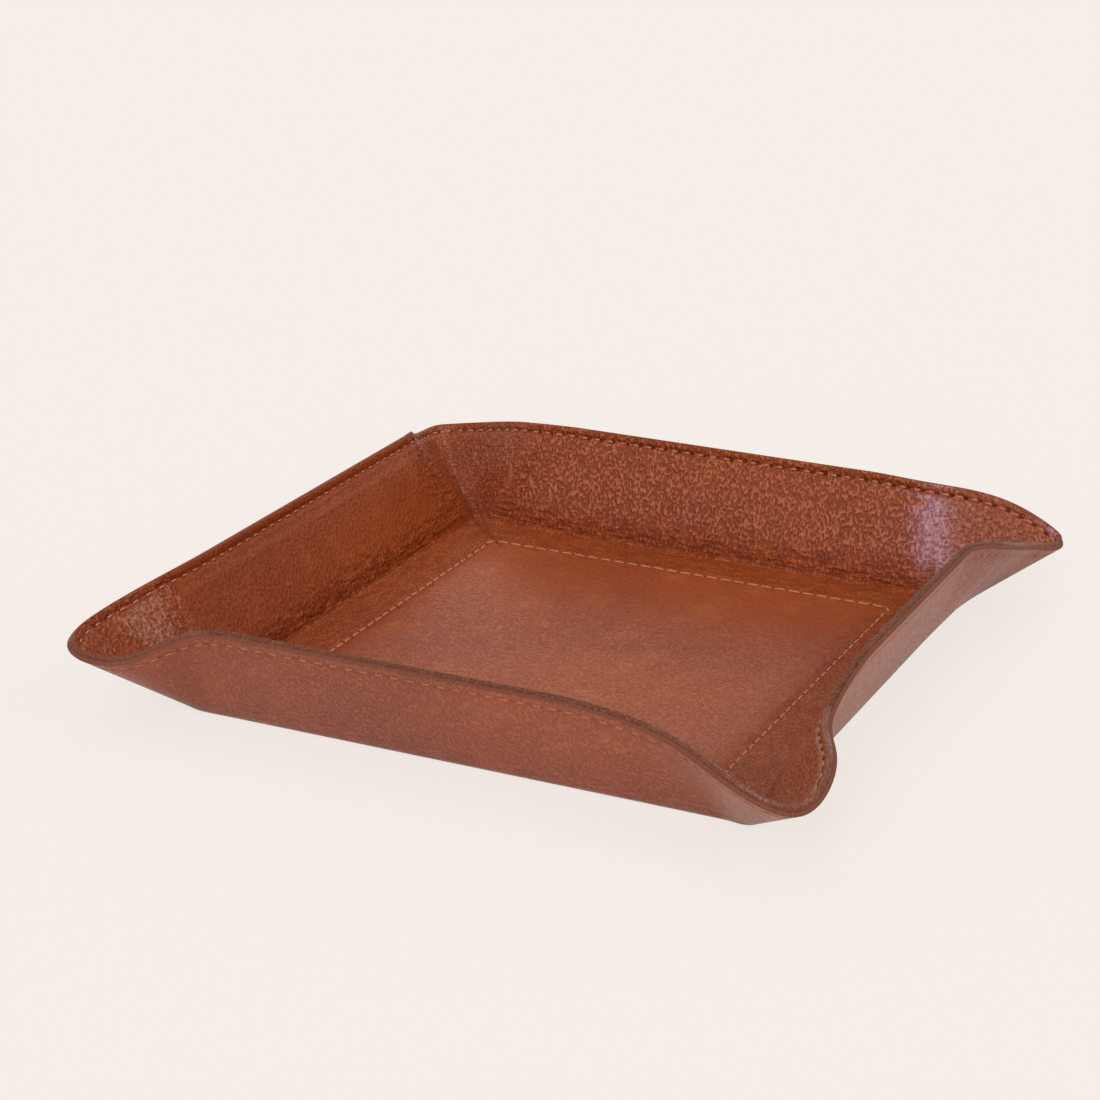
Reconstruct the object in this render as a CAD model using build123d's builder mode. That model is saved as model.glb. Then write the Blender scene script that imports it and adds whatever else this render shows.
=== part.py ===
from build123d import *
import os
from math import atan, cos, radians, sin, sqrt, tan

# Driving sizes, in millimetres and degrees
base_side = 160.0
wall_slant = 34.5
wall_angle = 66.0
corner_radius = 7.0
fold_radius = 3.2

spout_slope = 31.0
spout_reach = 38.0
spout_lip_angle = 50.0
brow_start = 14.0
brow_lift = 0.4
flare_foot = 20.0
flare_head = 32.0

outer_thickness = 1.2
lining_thickness = 1.2
glue_line = 0.05

board_thickness = 0.6
board_play = 0.05
base_board_side = 124.0
base_board_radius = 4.0
wall_board_foot = 5.0
wall_board_head = 6.5
wall_board_end = 3.0
wall_board_radius = 2.0
pad_margin = 1.2
pad_bevel = 0.55

stitch_square = 128.0
stitch_pitch = 4.3
stitch_length = 2.9
stitch_width = 0.65
stitch_height = 0.35
stitch_margin = 2.8
stitch_seat = 0.18
groove_width = 1.0
groove_depth = 0.5

# Where the spout is widest, as shares of the height: out along the diagonal, and to each side
shoulder_out_share = 0.55
shoulder_side_share = 0.50

overrun = 4.0

# Sizes that follow from the driving ones
lean = radians(wall_angle)
slope = radians(spout_slope)
half_base = base_side / 2
rim_height = wall_slant * sin(lean)
lining_depth = outer_thickness + glue_line
sheet_thickness = lining_depth + lining_thickness
pad_depth = lining_depth + board_thickness + board_play + lining_thickness
corner_cut = (sqrt(2) - 1) * corner_radius
mouth_height = rim_height + sheet_thickness + overrun
flare_rise = (flare_head - flare_foot) / rim_height

os.makedirs("parts", exist_ok=True)


def turned(point, turn):
    """The same point at each of the four corners."""
    return Vector(*point).rotate(Axis.Z, 90 * turn)


def floor_outline(depth):
    """The fold lines of the face that lies this deep in the leather."""
    inset = depth * tan(lean / 2)
    reach = half_base - inset
    start = half_base - corner_radius
    flare = half_base - flare_foot
    bend = reach - (1 - 1 / sqrt(2)) * (corner_radius - inset)
    with BuildLine(Plane.XY.offset(depth)) as outline:
        for turn in range(4):
            Line(turned((reach, -flare), turn), turned((reach, flare), turn))
            Line(turned((reach, flare), turn), turned((reach, start), turn))
            ThreePointArc(turned((reach, start), turn), turned((bend, bend), turn),
                          turned((start, reach), turn))
            Line(turned((start, reach), turn), turned((flare, reach), turn))
    return outline.edges()


def mouth_outline(depth):
    """A level slice of the same face above the rim, with its four spouts."""
    reach = half_base + mouth_height / tan(lean) - depth / sin(lean)
    flare = half_base - flare_foot - mouth_height * flare_rise
    tip = half_base + (mouth_height / tan(slope) - depth / sin(slope) - corner_cut) / sqrt(2)
    shoulder_lean = atan(1 / shoulder_side_share)
    side = (mouth_height * shoulder_side_share - depth / sin(shoulder_lean)) / sqrt(2)
    out = half_base + (mouth_height * shoulder_out_share - corner_cut) / sqrt(2)
    with BuildLine(Plane.XY.offset(mouth_height)) as outline:
        for turn in range(4):
            straight = Line(turned((reach, -flare), turn), turned((reach, flare), turn))
            along = turned((1, 1), turn)
            shoulder = turned((out + side, out - side), turn)
            far_shoulder = turned((out - side, out + side), turn)
            Spline(straight @ 1, shoulder, tangents=(straight % 1, along))
            Spline(shoulder, turned((tip, tip), turn), far_shoulder, tangents=(along, -along))
            Spline(far_shoulder, turned((flare, reach), turn),
                   tangents=(-along, turned((-1, 0), turn)))
    return outline.edges()


def tray_volume(depth):
    """Everything above the face that lies this deep in the leather, with soft folds."""
    with BuildPart() as volume:
        with BuildSketch(Plane.XY.offset(depth)):
            add(floor_outline(depth))
            make_face()
        with BuildSketch(Plane.XY.offset(mouth_height)):
            add(mouth_outline(depth))
            make_face()
        loft(ruled=True)
        fold = volume.faces().sort_by(Axis.Z)[0].edges()
        fillet(fold, radius=fold_radius - depth)
    return volume.part


def wall_plane(turn, depth):
    """Lies in a wall, this deep in the leather: x along the fold, y up the wall, z inwards."""
    inwards = turned((-sin(lean), 0, cos(lean)), turn)
    return Plane(origin=turned((half_base, 0), turn) + inwards * depth,
                 x_dir=turned((0, -1), turn), z_dir=inwards)


def diagonal_plane(turn):
    """Stands upright through a corner: x out along the diagonal, y up."""
    return Plane(origin=turned((half_base, half_base), turn), x_dir=turned((1, 1), turn),
                 z_dir=turned((1, -1), turn))


def spout_trim(drop):
    """The side view of what is cut away over a spout, this far below the rim, down to its lip."""
    start_height = rim_height + sheet_thickness * cos(lean) + brow_lift - drop * sin(lean)
    reach = spout_reach - drop
    lip = Vector(reach * cos(slope) - corner_cut, reach * sin(slope))
    lip_run = Vector(cos(radians(spout_lip_angle)), -sin(radians(spout_lip_angle)))
    with BuildSketch() as trim:
        with BuildLine():
            brow = Spline((-brow_start, start_height), lip, tangents=((1, 0), lip_run))
            down = Line(brow @ 1, brow @ 1 + lip_run * spout_reach)
            Polyline(down @ 1, (base_side, 0), (base_side, base_side), (-brow_start, base_side),
                     brow @ 0)
        make_face()
    return trim.sketch


def trimmed(volume, drop=0):
    """The body cut square to each wall and round at each spout, this far below the rim."""
    slant = wall_slant - drop
    with BuildPart() as body:
        add(volume)
        for turn in range(4):
            rim_plane = Plane(origin=turned((half_base + slant * cos(lean), 0, slant * sin(lean)), turn),
                              z_dir=turned((cos(lean), 0, sin(lean)), turn))
            split(bisect_by=rim_plane, keep=Keep.BOTTOM)
        for turn in range(4):
            with BuildSketch(diagonal_plane(turn)):
                add(spout_trim(drop))
            extrude(amount=base_side, both=True, mode=Mode.SUBTRACT)
    return body.part


def base_board_outline(margin):
    side = base_board_side + 2 * margin
    with BuildSketch() as outline:
        RectangleRounded(side, side, base_board_radius + margin)
    return outline.sketch


def wall_board_outline(margin):
    """The stiffener's outline, shorter at the head because the spouts open there."""
    foot = wall_board_foot - margin
    head = wall_slant - wall_board_head + margin
    ends = [half_base - flare_foot - height * sin(lean) * flare_rise - wall_board_end + margin
            for height in (foot, head)]
    with BuildSketch() as outline:
        with BuildLine():
            Polyline((-ends[0], foot), (ends[0], foot), (ends[1], head), (-ends[1], head),
                     close=True)
        make_face()
        fillet(outline.vertices(), radius=wall_board_radius + margin)
    return outline.sketch


outer_volume = tray_volume(0)
inner_volume = tray_volume(sheet_thickness)

# Outer leather, with a groove under the floor that keeps the thread clear of the table
with BuildPart() as outer_leather:
    add(trimmed(outer_volume))
    add(tray_volume(outer_thickness), mode=Mode.SUBTRACT)
    with BuildSketch():
        Rectangle(stitch_square + groove_width, stitch_square + groove_width)
        Rectangle(stitch_square - groove_width, stitch_square - groove_width, mode=Mode.SUBTRACT)
    extrude(amount=groove_depth, mode=Mode.SUBTRACT)
outer_leather.part.label = "outer_leather"
export_step(outer_leather.part, "parts/outer_leather.step")

# Base board, in its pocket inside the stitched square
with BuildPart() as base_board:
    with BuildSketch(Plane.XY.offset(lining_depth)):
        add(base_board_outline(0))
    extrude(amount=board_thickness)
base_board.part.label = "base_board"
export_step(base_board.part, "parts/base_board.step")

# Wall boards, one in each wall
wall_names = ("right", "back", "left", "front")
for turn, name in enumerate(wall_names):
    with BuildPart() as wall_board:
        with BuildSketch(wall_plane(turn, lining_depth)):
            add(wall_board_outline(0))
        extrude(amount=board_thickness)
    wall_board.part.label = f"wall_board_{name}"
    export_step(wall_board.part, f"parts/wall_board_{name}.step")


def raised_pad(plane, outline, pocket):
    """The lining's swelling over a board, less the pocket that the board lies in."""
    with BuildPart() as pad:
        with BuildSketch(plane):
            add(outline)
        extrude(amount=pad_depth - lining_depth)
        chamfer(pad.faces().sort_by(Axis(plane.origin, plane.z_dir))[-1].edges(), length=pad_bevel)
    with BuildPart() as hollow:
        with BuildSketch(plane):
            add(pocket)
        extrude(amount=board_thickness + board_play)
    return pad.part, hollow.part


# Lining, raised over the boards and pocketed for them
with BuildPart() as lining:
    add(trimmed(tray_volume(lining_depth)))
    add(inner_volume, mode=Mode.SUBTRACT)
    swellings = [raised_pad(Plane.XY.offset(lining_depth), base_board_outline(pad_margin),
                            base_board_outline(board_play))]
    swellings += [raised_pad(wall_plane(turn, lining_depth), wall_board_outline(pad_margin),
                             wall_board_outline(board_play)) for turn in range(4)]
    for pad, hollow in swellings:
        add(pad)
        add(hollow, mode=Mode.SUBTRACT)
lining.part.label = "lining"
export_step(lining.part, "parts/lining.step")


def rim_places(volume, lift):
    """Where each stitch of the rim lies on a face of the leather, a margin below the edge."""
    body = trimmed(volume, stitch_margin)
    cut_faces = body.faces().filter_by(lambda face: face.normal_at().Z > 0)
    places = []
    for wall in body.faces().filter_by(lambda face: face.normal_at().Z < 0).sort_by(Axis.Z)[1:]:
        for edge in cut_faces.edges().filter_by(lambda edge: edge in wall.edges()):
            count = round(edge.length / stitch_pitch)
            for share in [(index + 1 / 2) / count for index in range(count)]:
                away = wall.normal_at(edge @ share) * lift
                places.append(Plane(origin=edge @ share + away * stitch_seat,
                                    x_dir=edge % share, z_dir=away))
    return places


# One stitch, a ridge that runs along x
with BuildPart() as stitch:
    with BuildSketch(Plane.YZ.offset(-stitch_length / 2)):
        with BuildLine():
            Polyline((-stitch_width / 2, 0), (stitch_width / 2, 0), (0, stitch_height), close=True)
        make_face()
    extrude(amount=stitch_length)

# Rim seam, both faces of it
with BuildPart() as rim_seam:
    with Locations(*rim_places(inner_volume, -1), *rim_places(outer_volume, 1)):
        add(stitch.part)
rim_seam.part.label = "rim_seam"
export_step(rim_seam.part, "parts/rim_seam.step")

# Base seam, on the lining and in the groove underneath
stitch_count = round(stitch_square / stitch_pitch)
with BuildPart() as base_seam:
    for height in (sheet_thickness + stitch_seat, (groove_depth - stitch_height) / 2):
        for turn in range(4):
            row = Plane(origin=turned((stitch_square / 2, 0, height), turn),
                        x_dir=turned((0, 1), turn), z_dir=(0, 0, 1))
            with Locations(row):
                with GridLocations(stitch_square / stitch_count, 0, stitch_count, 1):
                    add(stitch.part)
base_seam.part.label = "base_seam"
export_step(base_seam.part, "parts/base_seam.step")
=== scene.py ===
from math import cos, pi, radians, sin, sqrt

import bmesh
import bpy
import numpy as np
from mathutils import Matrix, Vector


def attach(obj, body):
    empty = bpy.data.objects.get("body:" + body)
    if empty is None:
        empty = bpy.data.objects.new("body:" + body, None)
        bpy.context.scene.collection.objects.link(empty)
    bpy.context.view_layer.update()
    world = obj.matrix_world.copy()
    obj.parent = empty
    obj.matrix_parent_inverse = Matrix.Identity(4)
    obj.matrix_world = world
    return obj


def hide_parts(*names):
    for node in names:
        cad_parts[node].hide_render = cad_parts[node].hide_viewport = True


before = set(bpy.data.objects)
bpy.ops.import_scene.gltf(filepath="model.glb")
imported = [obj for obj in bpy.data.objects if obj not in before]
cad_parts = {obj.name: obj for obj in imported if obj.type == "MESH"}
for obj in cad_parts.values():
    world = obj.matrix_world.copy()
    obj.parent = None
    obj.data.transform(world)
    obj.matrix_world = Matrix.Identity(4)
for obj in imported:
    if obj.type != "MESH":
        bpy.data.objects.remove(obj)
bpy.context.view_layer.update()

# Lengths in millimetres, turned to metres where the meshes are made
MM = 0.001
BASE_HALF = 80.0
WALL_SLANT = 34.5
FOLD_REACH = 3.0

# The two leathers, and their cut edge
LEATHER = 1.2
GLUE = 0.05
SHEET = 2 * LEATHER + GLUE
EDGE_ROUND = 0.5
EDGE_SWELL = 0.4

# The seams, and how deep they pull into each face
SEAM_PITCH = 4.3
SEAM_MARGIN = 2.8
BASE_SEAM_HALF = 64.0
BASE_SEAM_RADIUS = 2.0
SEAM_SINK = 0.28
OUTER_RIM_SINK = 0.15
OUTER_BASE_SINK = 0.5
RIM_SINK_WIDTH, BASE_SINK_WIDTH = 0.7, 0.6

# How far the middle of each thread lies inside the outer face, and above the sunk lining
OUTER_THREAD_IN, UNDER_THREAD_IN = 0.16, 0.3
RIM_THREAD_UP, BASE_THREAD_UP = 0.08, 0.1

# The boards, and the lining's swelling over them
BOARD = 0.6
BASE_BOARD_HALF = 62.0
WALL_BOARD_FOOT, WALL_BOARD_HEAD = 5.0, WALL_SLANT - 6.5
WALL_BOARD_CORNER = 2.0
WALL_BOARD_HALF, WALL_BOARD_TAPER = 56.9, 0.348
PAD_HEAD, PAD_FOOT = 5.3, 4.4
PAD_HEAD_SLOPE, PAD_FOOT_SLOPE = 2.6, 2.0
PAD_END_GAP, FLOOR_PAD_SLOPE_OUT, FLOOR_PAD_SLOPE_IN = 0.6, 1.4, 0.4

# How far each wall leans, right, back, left and front
WALL_LEAN = [66.5, 65.5, 65.5, 62.5]
WALL_NAMES = ["right", "back", "left", "front"]

# One side of a spout: where the wall starts to bend, where the rim's bend ends and where the fold's does, all
# before the corner; how far the rim has leaned out and dropped there; the shoulder of the spout, out along
# the diagonal, aside and up; how softly the board's swelling ends; and whether the side breaks in a crease
PLAIN_SIDE = dict(bend=34.0, head=14.0, foot=6.0, push=2.0, drop=1.0, out=20.0, aside=13.0, up=26.5,
                  fade=7.0, crease=False)


def spout_side(**changes):
    return {**PLAIN_SIDE, **changes}


# Each spout: its base radius, its tip out along the diagonal, aside and up, and its side on the wall before
# it and on the wall after it
SPOUTS = [
    dict(radius=4.5, tip=(33.0, 0.5, 15.0),
         before=spout_side(bend=40, push=5, drop=6.5, out=19, aside=10, up=18.5),
         after=spout_side(push=1.5, drop=1.5, out=21.5, aside=11.5, up=24.5)),
    dict(radius=7.0, tip=(33.0, 1.0, 20.5),
         before=spout_side(push=1.5, drop=1.5, up=24.8),
         after=spout_side(bend=22, head=15.6, foot=1.0, push=0, drop=0, up=23.5, crease=True)),
    dict(radius=8.0, tip=(30.2, 0.0, 22.0),
         before=spout_side(up=25.5, fade=2.0),
         after=spout_side(push=1, drop=1.5, aside=14, up=21.5)),
    dict(radius=4.0, tip=(30.5, -1.0, 17.5),
         before=spout_side(bend=46, head=18, push=0, drop=4, aside=16, up=23),
         after=spout_side(bend=46, push=1, drop=6, out=21, aside=12, up=24)),
]
WALL_STEPS, BEND_STEPS, SPOUT_STEPS, RUN_STEPS = 30, 26, 36, 120
BEND_CROWDING = 1.5


def turned(points, quarter):
    for _ in range(quarter % 4):
        points = np.stack([-points[..., 1], points[..., 0], points[..., 2]], -1)
    return points


def mirrored(points):
    """The same points on the other side of the diagonal of the corner at +x +y."""
    return points[..., [1, 0, 2]]


def soft_step(x, low, high):
    t = np.clip((x - low) / (high - low), 0, 1)
    return t * t * (3 - 2 * t)


def smooth_runs(points, start, end):
    """The runs of a smooth curve through the points. An end has a direction, or none where it runs free."""
    points = np.asarray(points, float)
    length = np.linalg.norm(np.diff(points, axis=0), axis=1)
    span = np.sqrt(length * length.mean())
    count = len(points)
    grid, wanted = np.zeros((count, count)), np.zeros((count, 3))
    for row, near, given, step, gap in ((0, 1, start, points[1] - points[0], span[0]),
                                        (-1, -2, end, points[-1] - points[-2], span[-1])):
        grid[row, row] = 1 if given else 2 / gap
        grid[row, near] = 0 if given else 1 / gap
        wanted[row] = given or 3 * step / gap**2
    for i in range(1, count - 1):
        grid[i, i - 1], grid[i, i + 1] = 1 / span[i - 1], 1 / span[i]
        grid[i, i] = 2 * (1 / span[i - 1] + 1 / span[i])
        before, after = points[i] - points[i - 1], points[i + 1] - points[i]
        wanted[i] = 3 * (before / span[i - 1] ** 2 + after / span[i] ** 2)
    slope = np.linalg.solve(grid, wanted)
    t = np.linspace(0, 1, RUN_STEPS)[:, None]
    runs = []
    for i in range(count - 1):
        ends = (2 * t**3 - 3 * t**2 + 1) * points[i] + (3 * t**2 - 2 * t**3) * points[i + 1]
        runs.append(ends + span[i] * ((t**3 - 2 * t**2 + t) * slope[i] + (t**3 - t**2) * slope[i + 1]))
    return runs


def straight_run(start, end):
    t = np.linspace(0, 1, RUN_STEPS)[:, None]
    return start * (1 - t) + end * t


def lengths_along(points):
    return np.r_[0, np.cumsum(np.linalg.norm(np.diff(points, axis=0), axis=1))]


def at_lengths(wanted, along, values):
    """Values at the wanted lengths, read between the lengths where they are known."""
    return np.stack([np.interp(wanted, along, values[:, j]) for j in range(3)], -1)


def spread(points, shares):
    """Points at the given shares of a polyline's length."""
    along = lengths_along(points)
    return at_lengths(shares * along[-1], along, points)


def base_core(q, radius):
    """Core point and outward direction of the base outline, q along it from the diagonal of the corner."""
    angle = pi / 4 - np.clip(q / radius, 0, pi / 4)
    centre = BASE_HALF - radius
    return (np.stack([np.full_like(q, centre), centre - np.maximum(q - radius * pi / 4, 0), 0 * q], -1),
            np.stack([np.cos(angle), np.sin(angle), 0 * q], -1))


def half_spout(side, lean):
    """Where the rim starts to bend, where that ends, and the shoulder, on the wall at +x."""
    out, up = WALL_SLANT * cos(radians(lean)), WALL_SLANT * sin(radians(lean))
    bend = np.array([BASE_HALF + out, BASE_HALF - side["bend"], up])
    head = np.array([BASE_HALF + out + side["push"], BASE_HALF - side["head"], up - side["drop"]])
    shoulder = np.array([BASE_HALF + (side["out"] + side["aside"]) / sqrt(2),
                         BASE_HALF + (side["out"] - side["aside"]) / sqrt(2), side["up"]])
    return bend, head, shoulder


def half_lines(side, radius, bend, to_head, to_tip):
    """Base places, rim points and board share of half a corner, from the middle of the wall to the tip."""
    arc_gain = radius * (pi / 4 - 1)
    y = np.linspace(0, bend[1], WALL_STEPS, endpoint=False)
    wall = np.stack([np.full_like(y, bend[0]), y, np.full_like(y, bend[2])], -1)
    bending = spread(to_head, 1 - (1 - np.linspace(0, 1, BEND_STEPS)) ** BEND_CROWDING)
    upright = BASE_HALF - bending[:, 1] + arc_gain
    closing = np.interp(upright, [upright[-1], upright[0]], [side["foot"], upright[0]])
    spout_share = np.linspace(0, 1, SPOUT_STEPS)
    rim = np.vstack([wall, bending[:-1], spread(to_tip, spout_share)])
    q = np.r_[BASE_HALF - y + arc_gain, closing[:-1], side["foot"] * (1 - spout_share)]
    to_go = np.linalg.norm(bending - bending[-1], axis=1)
    ending = soft_step(to_go, PAD_END_GAP, PAD_END_GAP + side["fade"])
    return q, rim, np.r_[np.ones(WALL_STEPS), ending[:-1], np.zeros(SPOUT_STEPS)]


def corner_lines(k):
    """Core, outward direction, rim, board share and base radius at each column of one corner."""
    spout = SPOUTS[k]
    bend_a, head_a, shoulder_a = half_spout(spout["before"], WALL_LEAN[k])
    bend_b, head_b, shoulder_b = (mirrored(p) for p in half_spout(spout["after"], WALL_LEAN[(k + 1) % 4]))
    out, aside, up = spout["tip"]
    tip = np.array([BASE_HALF + (out - aside) / sqrt(2), BASE_HALF + (out + aside) / sqrt(2), up])
    chain = [bend_a, head_a, shoulder_a, tip, shoulder_b, head_b, bend_b]
    creased = [spout[side]["crease"] for side in ("before", "after")]
    runs = smooth_runs(chain[creased[0]:len(chain) - creased[1]], None if creased[0] else (0, 1, 0),
                       None if creased[1] else (-1, 0, 0))
    if creased[0]:
        runs.insert(0, straight_run(bend_a, head_a))
    if creased[1]:
        runs.append(straight_run(head_b, bend_b))
    back = [mirrored(run[::-1]) for run in runs]
    radius = spout["radius"]
    qa, rim_a, board_a = half_lines(spout["before"], radius, bend_a, runs[0], np.vstack(runs[1:3]))
    to_head, to_tip = back[5], np.vstack([back[4], back[3]])
    qb, rim_b, board_b = half_lines(spout["after"], radius, mirrored(bend_b), to_head, to_tip)
    core_a, face_a = base_core(qa, radius)
    core_b, face_b = base_core(qb, radius)
    board_share = np.r_[board_a, board_b[::-1][1:-1]]
    halves = (core_a, core_b), (face_a, face_b), (rim_a, rim_b)
    lines = [turned(np.vstack([a, mirrored(b)[::-1][1:-1]]), k) for a, b in halves]
    return [*lines, board_share, np.full(len(board_share), radius)]


corners = [corner_lines(k) for k in range(4)]
core, outward, rim, board, base_radius = (np.concatenate([corner[i] for corner in corners]) for i in range(5))
base_radius = base_radius[:, None]
foot = core + base_radius * outward
reach = np.linalg.norm(rim - foot, axis=1)[:, None]
rise = (rim - foot) / reach
COLUMNS = len(core)


def ring(half, radius):
    """A square ring of the base with that half side and corner radius."""
    return core * ((half - radius) / (BASE_HALF - base_radius)) + radius * outward


# The outer face, from the middle of the floor over the fold to the rim. Its rows lie closest where the seams
# sink and the swellings rise. Near the rim a row keeps its distance from it, and lower down its share of the
# wall, WHOLE_WALL being the whole of it.
FLOOR_HALVES = [0.5, 6, 14, 22, 30, 38, 46, 53, 58, 60.0, 60.8, 61.6, 62.2, 62.7, 63.1, 63.4, 63.7, 64.0,
                64.3, 64.6, 65.0, 65.8, 67, 69, 71.5, 74, 76, BASE_HALF - FOLD_REACH - 0.6]
BACK_FROM_RIM = [28.5, 27.5, 26.5, 25.5, 24, 22.5, 21, 19, 17, 15, 13, 11, 9.5, 8.6, 8.0, 7.4, 6.8, 6.2, 5.6,
                 5.0, 4.4, 3.8, 3.4, 3.1, 2.8, 2.5, 2.2, 1.8, 1.3, 0.9, EDGE_ROUND]
FOLD_STEPS = 9
NEAR_RIM, FAR_FROM_RIM, WHOLE_WALL = 9, 30, 30.5
rows, heights = [], []
for half in FLOOR_HALVES:
    rows.append(ring(half, min(0.5 * half, BASE_SEAM_RADIUS + max(0, half - BASE_SEAM_HALF - 2) * 0.2)))
    heights.append(np.full(COLUMNS, half - BASE_HALF))
fold_start, fold_end = foot - outward * FOLD_REACH, foot + rise * FOLD_REACH
for t in np.linspace(0, 1, FOLD_STEPS):
    rows.append(fold_start * (1 - t) ** 2 + foot * 2 * t * (1 - t) + fold_end * t**2)
    heights.append(np.full(COLUMNS, (2 * t - 1) * FOLD_REACH))
for back in BACK_FROM_RIM:
    low = soft_step(back, NEAR_RIM, FAR_FROM_RIM)
    past = (reach[:, 0] - FOLD_REACH) * (back / WHOLE_WALL) * low + back * (1 - low)
    rows.append(rim - rise * past[:, None])
    heights.append(reach[:, 0] - past)
outer = np.array(rows + [rim])
height = np.array(heights + [reach[:, 0]])

around = np.roll(outer, -1, axis=1) - np.roll(outer, 1, axis=1)
inward = np.cross(np.gradient(outer, axis=0), around)
inward[: len(FLOOR_HALVES)] = (0, 0, 1)
inward /= np.linalg.norm(inward, axis=2)[..., None] + 1e-9
softening = {-2: 1, -1: 2, 0: 3, 1: 2, 2: 1}
inward = sum(np.roll(inward, step, axis=1) * weight for step, weight in softening.items())
inward /= np.linalg.norm(inward, axis=2)[..., None]

# Where the faces sink along the seams and rise over the boards
from_rim = reach[:, 0] - height
sewn_rim = np.exp(-((from_rim - SEAM_MARGIN) / RIM_SINK_WIDTH) ** 2)
sewn_base = np.exp(-((height + BASE_HALF - BASE_SEAM_HALF) / BASE_SINK_WIDTH) ** 2) * (height < 0)
pad_head = soft_step(from_rim, PAD_HEAD, PAD_HEAD + PAD_HEAD_SLOPE)
pad_foot = soft_step(height, PAD_FOOT - PAD_FOOT_SLOPE, PAD_FOOT)
floor_pad = soft_step(-BASE_HALF - height, -BASE_BOARD_HALF - FLOOR_PAD_SLOPE_OUT,
                      -BASE_BOARD_HALF + FLOOR_PAD_SLOPE_IN)
raised = np.where(height < -FOLD_REACH, floor_pad, board * pad_head * pad_foot)


def layer(depth, lift=0.0):
    """The grid of a face this deep in the leather, lifted at each point."""
    return outer + inward * (depth + np.broadcast_to(lift, height.shape))[..., None]


def edge_rows(depth_from, depth_to):
    """The cut edge at the rim, rounded towards the face that is left."""
    last, normal = outer[-1], inward[-1]
    sign = 1 if depth_to > depth_from else -1
    found = []
    for t in np.linspace(0, pi / 2, 5)[1:]:
        depth = depth_from + sign * EDGE_ROUND * (1 - cos(t))
        found.append(last + normal * depth + rise * (EDGE_ROUND * (sin(t) - 1)))
    return np.array(found + [last + normal * depth_to])


def closed_loop(points):
    return np.vstack([points, points[:1]])


def stitch_numbers(line):
    """The number of stitches passed at each column of a closed row, with the last column's end."""
    along = lengths_along(closed_loop(line))
    return along / along[-1] * round(along[-1] / SEAM_PITCH)


def mesh_of(name, points, faces=(), edges=()):
    """A mesh from points in millimetres."""
    mesh = bpy.data.meshes.new(name)
    mesh.from_pydata((np.asarray(points) * MM).tolist(), list(edges), list(faces))
    return mesh


def outward_faces(mesh):
    shape = bmesh.new()
    shape.from_mesh(mesh)
    bmesh.ops.recalc_face_normals(shape, faces=shape.faces[:])
    shape.to_mesh(mesh)
    shape.free()
    mesh.polygons.foreach_set("use_smooth", [True] * len(mesh.polygons))


def piece_of(name, mesh, paint=None):
    piece = bpy.data.objects.new(name, mesh)
    bpy.context.scene.collection.objects.link(piece)
    if paint:
        mesh.materials.append(paint)
    return piece


def closed_skin(name, face, edge, back, rim_line, base_line):
    """A closed skin from its seen face, its cut edge and its hidden face, each a stack of rings.
    Its maps: sheet, along the rim and up from the fold; rim_row and base_row, stitches passed and place
    across the row; zone, how far the board reaches, and how far round the cut edge."""
    kept = sorted({0, len(back) - 2, *range(0, len(back) - 1, 3)})
    stack = np.concatenate([face[:-1], edge, back[kept][::-1]])
    tall = np.concatenate([height[:-1], np.tile(height[-1], (len(edge), 1)), height[kept][::-1]])
    rows, columns = stack.shape[:2]
    edge_start, edge_end = len(face) - 1, len(face) - 1 + len(edge)
    edge_share = np.zeros(rows)
    edge_share[edge_start:edge_end] = np.linspace(0.4, 1, len(edge))
    edge_share[edge_end:] = 1
    index = np.arange(rows * columns).reshape(rows, columns)
    right = np.roll(index, -1, axis=1)
    quads = np.stack([index[:-1], right[:-1], right[1:], index[1:]], -1).reshape(-1, 4)
    first, last = np.full(columns, rows * columns), np.full(columns, rows * columns + 1)
    caps = np.vstack([np.stack([first, right[0], index[0]], -1), np.stack([last, index[-1], right[-1]], -1)])
    points = np.vstack([stack.reshape(-1, 3), stack[0].mean(0), stack[-1].mean(0)])
    mesh = mesh_of(name, points, quads.tolist() + caps.tolist())

    def quad_values(left_values, right_values):
        spots = np.stack([left_values[:-1], right_values[:-1], right_values[1:], left_values[1:]], -1)
        return np.r_[spots.reshape(-1), np.zeros(caps.size)]

    def by_column(values):
        return np.tile(values[:-1], (rows, 1)), np.tile(values[1:], (rows, 1))

    def by_row(values):
        return values, np.roll(values, -1, axis=1)

    maps = dict(sheet=(by_column(lengths_along(closed_loop(rim)) * MM), by_row(tall * MM)),
                rim_row=(by_column(stitch_numbers(rim_line)), by_row(reach[:, 0] - tall)),
                base_row=(by_column(stitch_numbers(base_line)), by_row(tall + BASE_HALF)),
                zone=(by_row(np.tile(board, (rows, 1))), by_row(np.tile(edge_share[:, None], (1, columns)))))
    for label, (across, upward) in maps.items():
        flat_map = np.stack([quad_values(*across), quad_values(*upward)], -1).astype(np.float32)
        mesh.uv_layers.new(name=label).data.foreach_set("uv", flat_map.reshape(-1))
    mesh.update()
    outward_faces(mesh)
    return piece_of(name, mesh)


# Where the threads run, on the outer face and on the lining
rim_line, rim_normal = rim - rise * SEAM_MARGIN, inward[-2]
inner_rim_line = rim_line + rim_normal * SHEET
base_line = ring(BASE_SEAM_HALF, BASE_SEAM_RADIUS)

edge_swell = EDGE_SWELL * (1 - soft_step(from_rim, 0.2, SEAM_MARGIN))
outer_lift = OUTER_RIM_SINK * sewn_rim + OUTER_BASE_SINK * sewn_base
lining_lift = BOARD * raised - SEAM_SINK * sewn_rim - SEAM_SINK * sewn_base + edge_swell
outer_piece = closed_skin("outer_leather_skin", layer(0, outer_lift), edge_rows(0, LEATHER), layer(LEATHER),
                          rim_line, base_line)
lining_piece = closed_skin("lining_skin", layer(SHEET, lining_lift),
                           edge_rows(SHEET + EDGE_SWELL, LEATHER + GLUE),
                           layer(LEATHER + GLUE, BOARD * raised), inner_rim_line, base_line)


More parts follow.
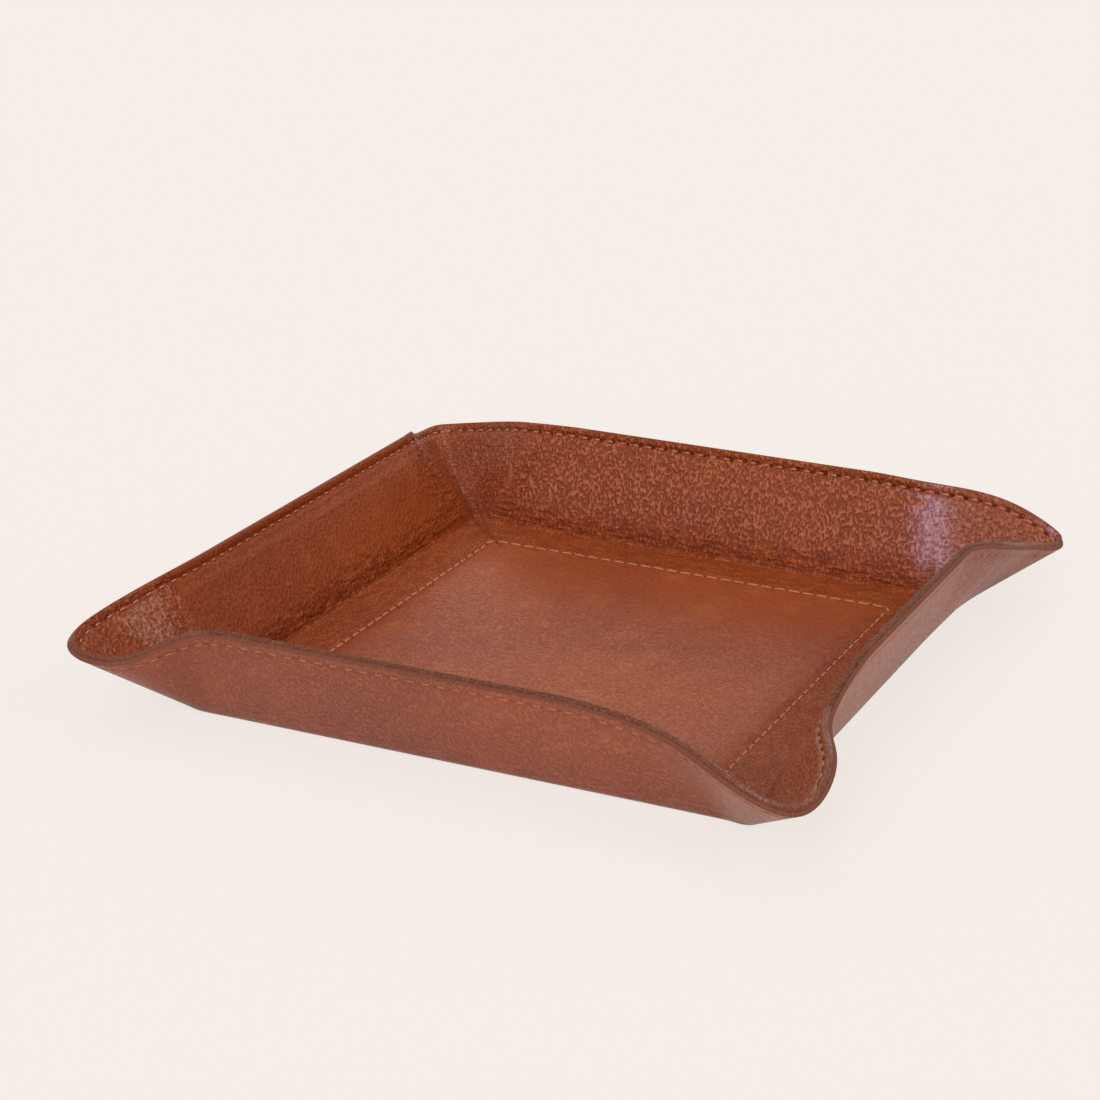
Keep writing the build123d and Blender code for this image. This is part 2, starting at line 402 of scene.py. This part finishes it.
def wall_board(name, k):
    """The stiffener of one wall, bent and leaned as the wall is."""
    half_wall, widest, lowest = COLUMNS // 8, 70, 8
    columns = np.arange(-half_wall, half_wall + 1) + k * (COLUMNS // 4)
    place = turned(foot[columns % COLUMNS], -k)[:, 1]
    keep = np.abs(place) < widest
    place, columns = place[keep], columns[keep] % COLUMNS
    tall = height[lowest:, columns]
    rows_at = WALL_BOARD_FOOT + (WALL_BOARD_HEAD - WALL_BOARD_FOOT) * np.r_[
        0, 0.02, 0.05, np.linspace(0.1, 0.9, 14), 0.95, 0.98, 1]
    spots, directions = [], []
    for tall_at in rows_at:
        near_end = min(tall_at - WALL_BOARD_FOOT, WALL_BOARD_HEAD - tall_at, WALL_BOARD_CORNER)
        rounding = WALL_BOARD_CORNER - sqrt(WALL_BOARD_CORNER**2 - (WALL_BOARD_CORNER - near_end) ** 2)
        half = WALL_BOARD_HALF - WALL_BOARD_TAPER * tall_at - rounding
        for found, grid in ((spots, outer), (directions, inward)):
            values = grid[lowest:, columns]
            at_height = np.array([at_lengths(tall_at, tall[:, i], values[:, i]) for i in range(len(columns))])
            found.append(at_lengths(np.linspace(-half, half, 61), place, at_height))
    spots, directions = np.array(spots), np.array(directions)
    faces_at = [spots + directions * depth for depth in (LEATHER + GLUE / 2, LEATHER + BOARD - GLUE / 2)]
    count = spots.shape[0] * spots.shape[1]
    index = np.arange(count).reshape(spots.shape[:2])
    quads = np.stack([index[:-1, :-1], index[:-1, 1:], index[1:, 1:], index[1:, :-1]], -1).reshape(-1, 4)
    border = np.r_[index[0, :-1], index[:-1, -1], index[-1, :0:-1], index[:0:-1, 0]]
    following = np.roll(border, -1)
    sides = np.stack([border, following, following + count, border + count], -1)
    faces = np.vstack([quads, quads[:, ::-1] + count, sides]).tolist()
    mesh = mesh_of(name, np.concatenate(faces_at).reshape(-1, 3), faces)
    outward_faces(mesh)
    return piece_of(name, mesh)


board_pieces = {f"wall_board_{name}": wall_board(f"{name}_wall_board", k)
                for k, name in enumerate(WALL_NAMES)}


# Shader maths as expressions
class Value:
    """The value of one socket. Sums and products of such values become Math nodes."""

    def __init__(self, tree, socket):
        self.tree, self.socket = tree, socket

    def _math(self, operation, *others):
        return self.tree.node("ShaderNodeMath", dict(operation=operation), [self, *others])[0]

    def __add__(self, other):
        return self._math("ADD", other)

    def __sub__(self, other):
        return self._math("SUBTRACT", other)

    def __rsub__(self, other):
        return self.tree.node("ShaderNodeMath", dict(operation="SUBTRACT"), [other, self])[0]

    def __mul__(self, other):
        return self._math("MULTIPLY", other)

    def __truediv__(self, other):
        return self._math("DIVIDE", other)

    def __pow__(self, other):
        return self._math("POWER", other)

    def __abs__(self):
        return self._math("ABSOLUTE")

    def larger(self, other):
        return self._math("MAXIMUM", other)

    def fraction(self):
        return self._math("FRACT")

    def root(self):
        return self._math("SQRT")

    __radd__, __rmul__ = __add__, __mul__


class Tree:
    """The shader nodes of a material or of the world."""

    def __init__(self, owner):
        owner.use_nodes = True
        self.nodes, self.links = owner.node_tree.nodes, owner.node_tree.links

    def fill(self, socket, value):
        if isinstance(value, Value):
            self.links.new(value.socket, socket)
        else:
            socket.default_value = value

    def node(self, kind, settings=None, inputs=()):
        made = self.nodes.new(kind)
        for name, value in (settings or {}).items():
            setattr(made, name, value)
        for key, value in inputs.items() if isinstance(inputs, dict) else enumerate(inputs):
            self.fill(made.inputs[key], value)
        return [Value(self, output) for output in made.outputs if output.enabled]

    def named(self, kind):
        return {value.socket.name: value for value in self.node(kind)}

    def output_of(self, name):
        return Value(self, self.nodes[name].outputs[0])

    def seen(self):
        """One for rays from the camera, by gloss or through glass, which see the backdrop. Else nought."""
        rays = self.named("ShaderNodeLightPath")
        return rays["Is Camera Ray"].larger(rays["Is Glossy Ray"]).larger(rays["Is Transmission Ray"])


class Paint(Tree):
    """One material."""

    def __init__(self, name):
        self.material = bpy.data.materials.new(name)
        super().__init__(self.material)
        self.shader = self.nodes["Principled BSDF"]

    def put(self, socket, value):
        self.fill(self.shader.inputs[socket], value)

    def blend(self, factor, low, high):
        low, high = ((*colour, 1) if isinstance(colour, tuple) else colour for colour in (low, high))
        return self.node("ShaderNodeMix", dict(data_type="RGBA"), {0: factor, 6: low, 7: high})[0]

    def ease(self, value, low, high):
        settings = dict(interpolation_type="SMOOTHSTEP")
        return self.node("ShaderNodeMapRange", settings, [value, low, high, 0.0, 1.0])[0]

    def split(self, vector):
        return self.node("ShaderNodeSeparateXYZ", {}, [vector])

    def flat_map(self, name):
        return self.split(self.node("ShaderNodeUVMap", dict(uv_map=name))[0])[:2]

    def flat_place(self, across, upward):
        return self.node("ShaderNodeCombineXYZ", {}, [across, upward, 0.0])[0]

    def shifted(self, operation, *vectors):
        return self.node("ShaderNodeVectorMath", dict(operation=operation), vectors)[0]

    def noise(self, place, scale, detail=3.0, output=0):
        sockets = {"Vector": place, "Scale": scale, "Detail": detail}
        return self.node("ShaderNodeTexNoise", {}, sockets)[output]

    def relief(self, height):
        """Bumps from a height in metres."""
        sockets = {"Strength": 1.0, "Distance": 1.0, "Height": height}
        self.put("Normal", self.node("ShaderNodeBump", {}, sockets)[0])


# Colours of the leather, among them painted shade for its creases and needle holes and a painted highlight
# for its pebble tops
TAN, TAN_DEEP, TAN_WORN_AND_HIGHLIGHT = (0.33, 0.067, 0.013), (0.25, 0.044, 0.008), (0.46, 0.115, 0.026)
TAN_CREASE_SHADE, TAN_EDGE, TAN_HOLE_SHADE = (0.15, 0.022, 0.004), (0.17, 0.045, 0.017), (0.075, 0.018, 0.007)

# Scales of its grain, per metre, those with two numbers being along the rim and up the wall
WARP_SCALE, WARP_REACH = 420.0, 0.0009
PEBBLE_SCALE, PEBBLE_SQUASH, CELL_SCALE, FINE_SCALE = 1320.0, 0.56, 360.0, 1500.0
PATCH_SCALE, MOTTLE_SCALE, STRENGTH_SCALE, BEND_SCALE = 14.0, 85.0, 60.0, 130.0
SPOUT_CREASES, SEAM_RIDGES, FLOOR_STREAKS = (520.0, 1050.0), (420.0, 130.0), (170.0, 330.0)
WALL_STREAKS_MORE, CREASE_BEND, STREAK_BEND = 430.0, 4.4, 2.0
PEBBLE_SIDE = (0.34, 0.6)

# Heights of its relief, in millimetres
PEBBLE_HIGH, PEBBLE_SOFT, CELL_HIGH, CREASE_HIGH, FINE_HIGH = 0.34, 0.4, 0.06, 0.42, 0.16
STREAK_HIGH, RIDGE_HIGH, PUCKER_DEEP, HOLE_DEEP = 0.8, 0.3, 0.16, 0.2

# Where parts of the tray start and where they are whole: towards -x and up from the fold in metres, back from
# the rim in millimetres
LEFT_WALL, LEFT_END = (0.078, 0.083), (0.055, 0.08)
ON_WALL, OUTSIDE_PAD = (-0.0035, 0.004), (-0.0172, -0.0156)
FOLD_START, FOLD_END = (-0.026, -0.014), (0.005, 0.014)
RIDGES_START, RIDGES_END = (3.2, 4.4), (6.5, 9.0)

# Half length and half width of the needle holes, in millimetres
RIM_HOLE, BASE_HOLE = (1.45, 0.6), (0.7, 0.4)


def leather(name, grain, floor_grain, hole_shade, gloss, polish):
    """Milled leather, pebbled in two sizes, smoother on the floor and left wall, creased in the spouts,
    streaked at the fold, and pierced by the seams."""
    paint = Paint(name)
    ease, noise, blend = paint.ease, paint.noise, paint.blend
    spot = paint.named("ShaderNodeTexCoord")["Object"]
    around, up = paint.flat_map("sheet")
    rim_count, rim_back = paint.flat_map("rim_row")
    base_count, base_half = paint.flat_map("base_row")
    boarded, edged = paint.flat_map("zone")

    # Parts of the tray, from the maps and from the place
    leftward = paint.split(spot)[0] * -1.0
    left_wall, left_end = ease(leftward, *LEFT_WALL), ease(leftward, *LEFT_END)
    on_wall, outside_pad = ease(up, *ON_WALL), ease(up, *OUTSIDE_PAD)
    near_fold = ease(up, *FOLD_START) * (1 - ease(up, *FOLD_END))
    in_spout = ease(1 - boarded, 0.3, 0.9) * on_wall
    below_seam = ease(rim_back, *RIDGES_START) * (1 - ease(rim_back, *RIDGES_END)) * on_wall
    cut_edge = ease(edged, 0.25, 0.6)

    # Patterns
    warp = noise(spot, WARP_SCALE, 2.0, output=1)
    warped = paint.shifted("MULTIPLY_ADD", warp, (WARP_REACH,) * 3, spot)
    small = noise(paint.shifted("MULTIPLY", warped, (1.0, 1.0, PEBBLE_SQUASH)), PEBBLE_SCALE, 0.6)
    cells = paint.node("ShaderNodeTexVoronoi", dict(feature="DISTANCE_TO_EDGE"),
                       {"Vector": warped, "Scale": CELL_SCALE})[0]
    fine, patch, mottle = noise(spot, FINE_SCALE), noise(spot, PATCH_SCALE), noise(spot, MOTTLE_SCALE, 4.0)
    strength, bend = noise(spot, STRENGTH_SCALE, 2.0), noise(spot, BEND_SCALE, 2.0)
    pebble = ease(small, *PEBBLE_SIDE)
    crease_place = paint.flat_place(around * SPOUT_CREASES[0], up * SPOUT_CREASES[1] + bend * CREASE_BEND)
    long_pebble = ease(noise(crease_place, 1.0, 1.5), *PEBBLE_SIDE)
    streak_up = up * (FLOOR_STREAKS[1] + on_wall * WALL_STREAKS_MORE) + bend * STREAK_BEND
    streak = noise(paint.flat_place(around * FLOOR_STREAKS[0], streak_up), 1.0)
    ridge = noise(paint.flat_place(around * SEAM_RIDGES[0], up * SEAM_RIDGES[1]), 1.0, 2.0)

    def needle(count, across, centre, size):
        """The hole at each end of a stitch, and the pucker round it."""
        along = (0.5 - abs(count.fraction() - 0.5)) * SEAM_PITCH
        far = ((along / size[0]) ** 2.0 + (abs(across - centre) / size[1]) ** 2.0).root()
        return 1 - ease(far, 0.55, 1.0), 1 - ease(far, 0.8, 2.2)

    rim_hole, rim_pucker = needle(rim_count, rim_back, SEAM_MARGIN, RIM_HOLE)
    base_hole, base_pucker = needle(base_count, base_half, BASE_SEAM_HALF, BASE_HOLE)
    hole = (rim_hole * on_wall).larger(base_hole * (1 - on_wall))
    pucker = (rim_pucker * on_wall).larger(base_pucker * (1 - on_wall))

    # Relief
    grain_share = floor_grain + outside_pad * (0.65 + 0.35 * on_wall) * (grain - floor_grain)
    grain_share = grain_share * (1 - 0.7 * left_wall * boarded)
    pebbles = pebble * PEBBLE_HIGH + small * PEBBLE_SOFT + ease(cells, 0.0, 0.26) * CELL_HIGH
    height = pebbles * (1 - 0.8 * in_spout) + long_pebble * in_spout * CREASE_HIGH + fine * FINE_HIGH
    height = height * (0.5 + strength) * (1 - 0.45 * near_fold) * grain_share
    height = height + (streak * near_fold * STREAK_HIGH + ridge * below_seam * RIDGE_HIGH) * grain
    paint.relief((height - pucker * PUCKER_DEEP - hole * HOLE_DEEP) * MM)

    # Colour, with painted shade in the creases, the streaks at the fold, the needle holes and a strip along
    # the left wall's rim, and painted highlights on the pebble tops
    base = blend(ease(patch, 0.3, 0.7), TAN_DEEP, TAN)
    base = blend(ease(mottle, 0.5, 0.8) * 0.4, base, TAN_WORN_AND_HIGHLIGHT)
    top = pebble * (1 - in_spout) + long_pebble * in_spout
    # Painted shade: the creases between the pebbles darker
    base = blend((1 - top) * grain_share * 0.52, base, TAN_CREASE_SHADE)
    # Painted highlight: the tops of the small pebbles lighter
    base = blend(ease(small, 0.54, 0.7) * grain_share * 0.7, base, TAN_WORN_AND_HIGHLIGHT)
    # Painted shade in the creases of the streaks near the fold
    base = blend((1 - ease(streak, 0.4, 0.58)) * near_fold * (0.4 + 0.4 * on_wall) * grain, base, TAN_CREASE_SHADE)
    # Painted shade: a strip below the rim of the left wall darker, where that face turns from the light
    base = blend((1 - ease(rim_back, 0.6, 2.8)) * on_wall * left_wall * 0.4, base, TAN_DEEP)
    # Painted shade in the needle holes
    base = blend(hole * hole_shade * (0.45 + 0.55 * on_wall), base, TAN_HOLE_SHADE)
    paint.put("Base Color", blend(cut_edge, base, TAN_EDGE))

    # Gloss, with a polish that is stronger in the bent spouts and weaker at the left and in the folds
    paint.put("Roughness", 0.42 - pebble * 0.08 + patch * 0.05 + cut_edge * 0.3)
    paint.put("Specular IOR Level", gloss)
    polish_share = (0.3 + 0.7 * pebble) * (1 + 1.1 * in_spout) * (1 - 0.5 * left_end)
    paint.put("Coat Weight", polish * polish_share * (1 - 0.8 * near_fold) * (1 - hole))
    paint.put("Coat Roughness", 0.24)
    return paint.material


def plain(name, colour, roughness, scale):
    """A material of one colour, finely uneven."""
    paint = Paint(name)
    grain = paint.noise(paint.named("ShaderNodeTexCoord")["Object"], scale)
    dark, light = (tuple(part * share for part in colour) for share in (0.75, 1.2))
    paint.put("Base Color", paint.blend(grain, dark, light))
    paint.put("Roughness", roughness)
    paint.relief(grain * 0.05 * MM)
    return paint.material


outer_paint = leather("outer_leather_grain", grain=0.45, floor_grain=0.3, hole_shade=0.2, gloss=0.38,
                      polish=0.0)
lining_paint = leather("lining_grain", grain=1.0, floor_grain=0.22, hole_shade=0.85, gloss=0.12, polish=0.36)
board_paint = plain("bonded_board", (0.3, 0.2, 0.12), roughness=0.8, scale=700.0)
rim_thread_paint = plain("rim_thread", (0.42, 0.14, 0.065), roughness=0.5, scale=3000.0)
base_thread_paint = plain("base_thread", (0.54, 0.20, 0.10), roughness=0.55, scale=3000.0)
outer_piece.data.materials.append(outer_paint)
lining_piece.data.materials.append(lining_paint)
for piece in board_pieces.values():
    piece.data.materials.append(board_paint)
for node_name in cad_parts:
    node_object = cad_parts[node_name]
    if hasattr(node_object, "data"):
        node_object.data.materials.clear()
        node_object.data.materials.append(board_paint if "board" in node_name else outer_paint)


# Stitches along a row, made by geometry nodes
def stitch_shape(name, paint, length, width, thick, dip, rings=8, sides=7):
    """One stitch, whose ends dip into the needle holes."""
    points, faces = [], []
    for t in np.linspace(-1, 1, rings):
        full = 0.3 + 0.7 * (1 - abs(t) ** 3.5) ** 0.5
        for a in np.arange(sides) * 2 * pi / sides:
            across, upward = cos(a) * width / 2 * full, sin(a) * thick / 2 * full
            points.append((t * length / 2, across, upward - dip * abs(t) ** 3))
    for i in range(rings - 1):
        for j in range(sides):
            k = (j + 1) % sides
            faces.append((i * sides + j, i * sides + k, (i + 1) * sides + k, (i + 1) * sides + j))
    faces.append(tuple(range(sides))[::-1])
    faces.append(tuple((rings - 1) * sides + j for j in range(sides)))
    mesh = mesh_of(name, points, faces)
    outward_faces(mesh)
    return piece_of(name, mesh, paint)


def row_tree(name, paint):
    """The geometry nodes that set a stitch at even steps along a closed line."""
    tree = bpy.data.node_groups.new(name, "GeometryNodeTree")
    face = tree.interface
    face.new_socket("Geometry", in_out="INPUT", socket_type="NodeSocketGeometry")
    for label, kind in (("Stitch", "NodeSocketObject"), ("Count", "NodeSocketInt"),
                        ("Unevenness", "NodeSocketFloat"), ("Seed", "NodeSocketInt")):
        face.new_socket(label, in_out="INPUT", socket_type=kind)
    face.new_socket("Geometry", in_out="OUTPUT", socket_type="NodeSocketGeometry")

    def node(kind, settings=None, inputs=None):
        made = tree.nodes.new(kind)
        for key, value in (settings or {}).items():
            setattr(made, key, value)
        for key, value in (inputs or {}).items():
            if isinstance(value, bpy.types.NodeSocket):
                tree.links.new(value, made.inputs[key])
            else:
                made.inputs[key].default_value = value
        return made.outputs

    given = node("NodeGroupInput")
    curve = node("GeometryNodeMeshToCurve", {}, {"Mesh": given["Geometry"]})
    even = node("GeometryNodeResampleCurve", dict(mode="COUNT"),
                {"Curve": curve["Curve"], "Count": given["Count"]})
    facing = node("GeometryNodeInputNamedAttribute", dict(data_type="FLOAT_VECTOR"), {"Name": "face_out"})
    tangent = node("GeometryNodeInputTangent")
    stand = node("FunctionNodeAlignEulerToVector", dict(axis="Z"), {"Vector": facing["Attribute"]})
    follow = node("FunctionNodeAlignEulerToVector", dict(axis="X", pivot_axis="Z"),
                  {"Rotation": stand["Rotation"], "Vector": tangent["Tangent"]})
    less = node("ShaderNodeMath", dict(operation="MULTIPLY"), {0: given["Unevenness"], 1: -1.0})
    wobble = node("FunctionNodeRandomValue", dict(data_type="FLOAT"),
                  {"Min": less[0], "Max": given["Unevenness"], "Seed": given["Seed"]})
    spin = node("ShaderNodeCombineXYZ", {}, {"Z": wobble[1]})
    rotate = node("FunctionNodeRotateEuler", dict(space="LOCAL"),
                  {"Rotation": follow["Rotation"], "Rotate By": spin["Vector"]})
    shape = node("GeometryNodeObjectInfo", {}, {"Object": given["Stitch"], "As Instance": True})
    place = node("GeometryNodeInstanceOnPoints", {},
                 {"Points": even["Curve"], "Instance": shape["Geometry"], "Rotation": rotate["Rotation"]})
    real = node("GeometryNodeRealizeInstances", {}, {"Geometry": place["Instances"]})
    dress = node("GeometryNodeSetMaterial", {}, {"Geometry": real["Geometry"], "Material": paint})
    node("NodeGroupOutput", {}, {"Geometry": dress["Geometry"]})
    return tree


LINE_STEPS, UNEVENNESS = 2400, 0.04


def sewn_rows(name, paint, rows_given, seed):
    """One piece of stitches along closed rows. A row is its points, the directions they face and its stitch.
    The stitches lie halfway between the needle holes."""
    shape = bmesh.new()
    for number, (points, facing, stitch) in enumerate(rows_given):
        closed, closed_facing = closed_loop(points), closed_loop(facing)
        along = lengths_along(closed)
        count = round(along[-1] / SEAM_PITCH)
        wanted = (np.linspace(0, along[-1], LINE_STEPS, endpoint=False) + 0.5 * along[-1] / count) % along[-1]
        line, out = (at_lengths(wanted, along, values) for values in (closed, closed_facing))
        mesh = mesh_of(name + "_line", line, edges=[(i, (i + 1) % len(line)) for i in range(len(line))])
        direction = mesh.attributes.new("face_out", "FLOAT_VECTOR", "POINT")
        direction.data.foreach_set("vector", out.astype(np.float32).reshape(-1))
        path = piece_of(name + "_line", mesh)
        tree = row_tree(name + "_tree", paint)
        modifier = path.modifiers.new("stitches", "NODES")
        modifier.node_group = tree
        ids = {item.name: item.identifier for item in tree.interface.items_tree if item.in_out == "INPUT"}
        inputs = dict(Stitch=stitch, Count=count, Unevenness=UNEVENNESS, Seed=seed + number)
        for label, value in inputs.items():
            modifier[ids[label]] = value
        bpy.context.view_layer.update()
        result = bpy.data.meshes.new_from_object(path.evaluated_get(bpy.context.evaluated_depsgraph_get()))
        path.modifiers.remove(modifier)
        bpy.data.objects.remove(path)
        shape.from_mesh(result)
        bpy.data.meshes.remove(result)
    mesh = bpy.data.meshes.new(name)
    shape.to_mesh(mesh)
    shape.free()
    return piece_of(name, mesh, paint)


rim_stitch = stitch_shape("rim_stitch", rim_thread_paint, length=2.3, width=0.75, thick=0.6, dip=0.45)
outer_stitch = stitch_shape("outer_stitch", rim_thread_paint, length=3.0, width=0.6, thick=0.4, dip=0.3)
base_stitch = stitch_shape("base_stitch", base_thread_paint, length=3.9, width=0.55, thick=0.42, dip=0.25)
up_facing = np.tile((0.0, 0.0, 1.0), (COLUMNS, 1))
outer_row = rim_line + rim_normal * OUTER_THREAD_IN, -rim_normal, outer_stitch
inner_row = inner_rim_line - rim_normal * (SEAM_SINK - RIM_THREAD_UP), rim_normal, rim_stitch
floor_row = base_line + (0, 0, SHEET - SEAM_SINK + BASE_THREAD_UP), up_facing, base_stitch
under_row = base_line + (0, 0, UNDER_THREAD_IN), -up_facing, base_stitch
rim_thread = sewn_rows("rim_stitches", rim_thread_paint, [outer_row, inner_row], seed=3)
base_thread = sewn_rows("base_stitches", base_thread_paint, [floor_row, under_row], seed=7)
for shape in (rim_stitch, outer_stitch, base_stitch):
    bpy.data.objects.remove(shape)

# Where each piece belongs
belongings = [(outer_piece, "outer_leather", "outer_leather"), (lining_piece, "lining_leather", "lining"),
              (rim_thread, "rim_thread", "rim_seam"), (base_thread, "base_thread", "base_seam")]
belongings += [(piece, "stiffener_board", node_name) for node_name, piece in board_pieces.items()]
for piece, slot_name, node_name in belongings:
    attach(piece, "root")
    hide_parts(node_name)

# Camera, angles in radians and lengths in metres
LOOK_ANGLE, LOOK_DOWN, LOOK_ROLL = 2.0040, 0.3593, 0.0053
LOOK_AT, CAMERA_AWAY = Vector((-0.03102, 0.07726, 0)), 0.8288
LENS, SENSOR, SHIFT = 88.95, 36.0, -0.0533
look = Vector((cos(LOOK_ANGLE) * cos(LOOK_DOWN), sin(LOOK_ANGLE) * cos(LOOK_DOWN), -sin(LOOK_DOWN)))
right = look.cross(Vector((0, 0, 1))).normalized()
up = right.cross(look)
right, up = cos(LOOK_ROLL) * right + sin(LOOK_ROLL) * up, cos(LOOK_ROLL) * up - sin(LOOK_ROLL) * right
camera = bpy.data.objects.new("camera", bpy.data.cameras.new("camera"))
bpy.context.scene.collection.objects.link(camera)
camera_turn = Matrix((right, up, -look)).transposed().to_4x4()
camera.matrix_world = Matrix.Translation(LOOK_AT - look * CAMERA_AWAY) @ camera_turn
camera.data.lens, camera.data.sensor_width, camera.data.shift_x = LENS, SENSOR, SHIFT
bpy.context.scene.camera = camera

# Ground, which takes the tray's shadow and otherwise shows as the backdrop
PALE = (0.922, 0.863, 0.815)
GROUND_HALF, BACKDROP_SHARE = 4000.0, 0.85
ground_paint = Paint("pale_floor")
ground_paint.put("Base Color", (*PALE, 1))
ground_paint.put("Roughness", 0.9)
ground_paint.put("Specular IOR Level", 0.1)
glow = ground_paint.node("ShaderNodeEmission", {}, {"Color": (*PALE, 1), "Strength": 1.0})[0]
ground_share = ground_paint.seen() * BACKDROP_SHARE
ground_look = ground_paint.node("ShaderNodeMixShader", {}, [
    ground_share, ground_paint.output_of("Principled BSDF"), glow])[0]
ground_paint.fill(ground_paint.nodes["Material Output"].inputs["Surface"], ground_look)
ground_corners = [(x * GROUND_HALF, y * GROUND_HALF, 0) for x, y in ((-1, -1), (1, -1), (1, 1), (-1, 1))]
floor = piece_of("pale_floor", mesh_of("pale_floor", ground_corners, [(0, 1, 2, 3)]), ground_paint.material)

# World, whose light is weaker than the backdrop looks
WORLD_COLOUR, WORLD_STRENGTH = (0.96, 0.98, 1.0), 0.35
world = bpy.context.scene.world or bpy.data.worlds.new("soft_light")
bpy.context.scene.world = world
sky = Tree(world)
sky.nodes["Background"].inputs["Color"].default_value = (*WORLD_COLOUR, 1)
sky.nodes["Background"].inputs["Strength"].default_value = WORLD_STRENGTH
backdrop = sky.node("ShaderNodeBackground", {}, {"Color": (*PALE, 1)})[0]
sky_look = sky.node("ShaderNodeMixShader", {}, [sky.seen(), sky.output_of("Background"), backdrop])[0]
sky.fill(sky.nodes["World Output"].inputs["Surface"], sky_look)


def soft_sun(name, around_deg, up_deg, strength, spread_deg, colour=(1, 1, 1)):
    """A far lamp, by the angle it comes from, round from +x and up from the floor."""
    light = bpy.data.lights.new(name, "SUN")
    light.energy, light.color, light.angle = strength, colour, radians(spread_deg)
    thing = bpy.data.objects.new(name, light)
    a, b = radians(around_deg), radians(up_deg)
    source = Vector((cos(a) * cos(b), sin(a) * cos(b), sin(b)))
    thing.rotation_euler = source.to_track_quat("Z", "Y").to_euler()
    bpy.context.scene.collection.objects.link(thing)


# Lamps
soft_sun("key", around_deg=277, up_deg=36, strength=1.1, spread_deg=75, colour=(1.0, 0.94, 0.82))
soft_sun("window", around_deg=280, up_deg=36, strength=1.35, spread_deg=28, colour=(0.5, 0.56, 1.0))
soft_sun("top", around_deg=120, up_deg=68, strength=0.45, spread_deg=30)
soft_sun("side", around_deg=0, up_deg=38, strength=0.6, spread_deg=20, colour=(1.0, 0.84, 0.66))

bpy.context.scene.view_settings.view_transform = "Standard"
